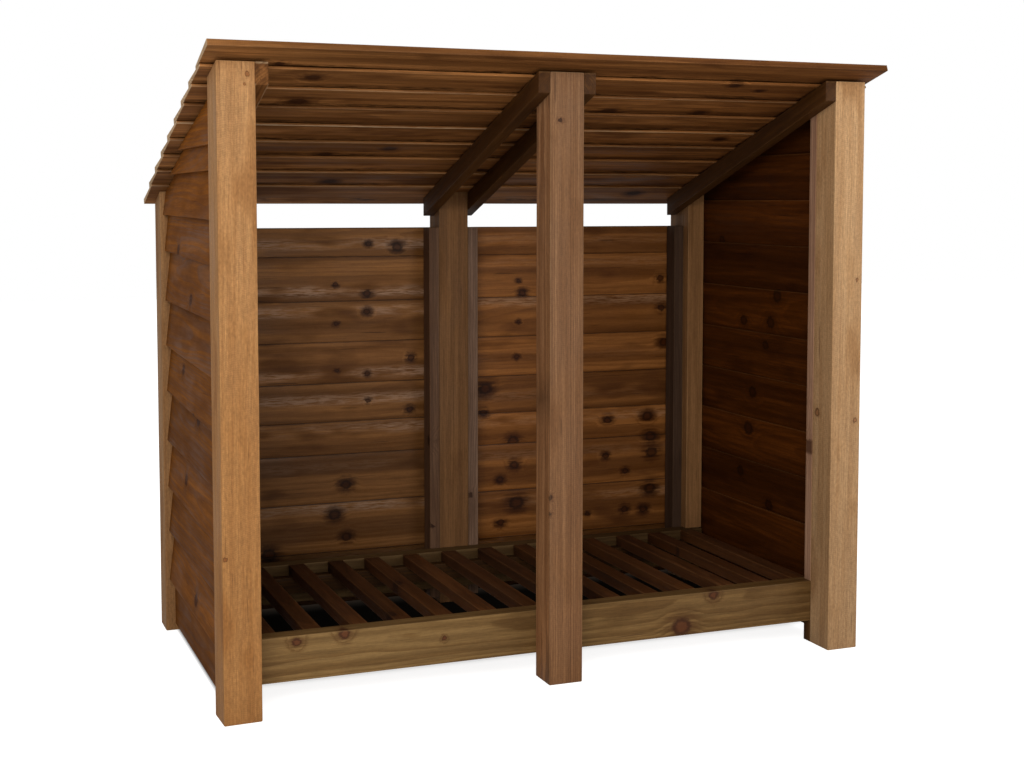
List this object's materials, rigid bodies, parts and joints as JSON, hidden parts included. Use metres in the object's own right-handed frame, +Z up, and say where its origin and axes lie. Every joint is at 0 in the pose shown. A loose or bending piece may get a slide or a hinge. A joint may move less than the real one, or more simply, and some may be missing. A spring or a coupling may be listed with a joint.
{
  "type": "log store",
  "caption": "Open-fronted timber log store: posts, slatted floor, tapered-board walls and a lean-to roof of overlapping boards that falls to the back.",
  "frame": {"origin": "on the ground, in the middle of the footprint of the roof", "axes": "+X along the front to the right as seen from the front, +Y to the back, +Z up; the open front looks to -Y"},
  "size_m": [1.412, 0.8118, 1.2456],
  "materials": {
    "post_timber": "sawn, stained brown",
    "frame_timber": "sawn, stained dark brown",
    "sill_timber": "planed, stained olive brown",
    "slat_timber": "sawn, stained brown",
    "cladding_timber": "sawn, stained dark brown",
    "roof_timber": "sawn, stained dark brown"
  },
  "bodies": {
    "root": {"post_front_left": "post_timber", "post_front_centre": "post_timber", "post_front_right": "post_timber", "post_back_left": "post_timber", "post_back_centre": "post_timber", "post_back_right": "post_timber", "rafter_left": "frame_timber", "rafter_centre_left": "frame_timber", "rafter_centre_right": "frame_timber", "rafter_right": "frame_timber", "batten_left_front": "frame_timber", "batten_left_back": "frame_timber", "batten_right_front": "frame_timber", "batten_right_back": "frame_timber", "batten_back_1": "frame_timber", "batten_back_2": "frame_timber", "batten_back_3": "frame_timber", "batten_back_4": "frame_timber", "ledger_front": "frame_timber", "ledger_back": "frame_timber", "sill_front": "sill_timber", "sill_back": "sill_timber", "sill_feet": "sill_timber", "floor_slats": "slat_timber", "kick_board_left": "cladding_timber", "kick_board_right": "cladding_timber", "cladding_left": "cladding_timber", "cladding_right": "cladding_timber", "cladding_back_left": "cladding_timber", "cladding_back_right": "cladding_timber", "roof_board_1": "roof_timber", "roof_board_2": "roof_timber", "roof_board_3": "roof_timber", "roof_board_4": "roof_timber", "roof_board_5": "roof_timber", "roof_board_6": "roof_timber", "roof_board_7": "roof_timber", "roof_board_8": "roof_timber", "roof_board_9": "roof_timber"}
  },
  "joints": []
}
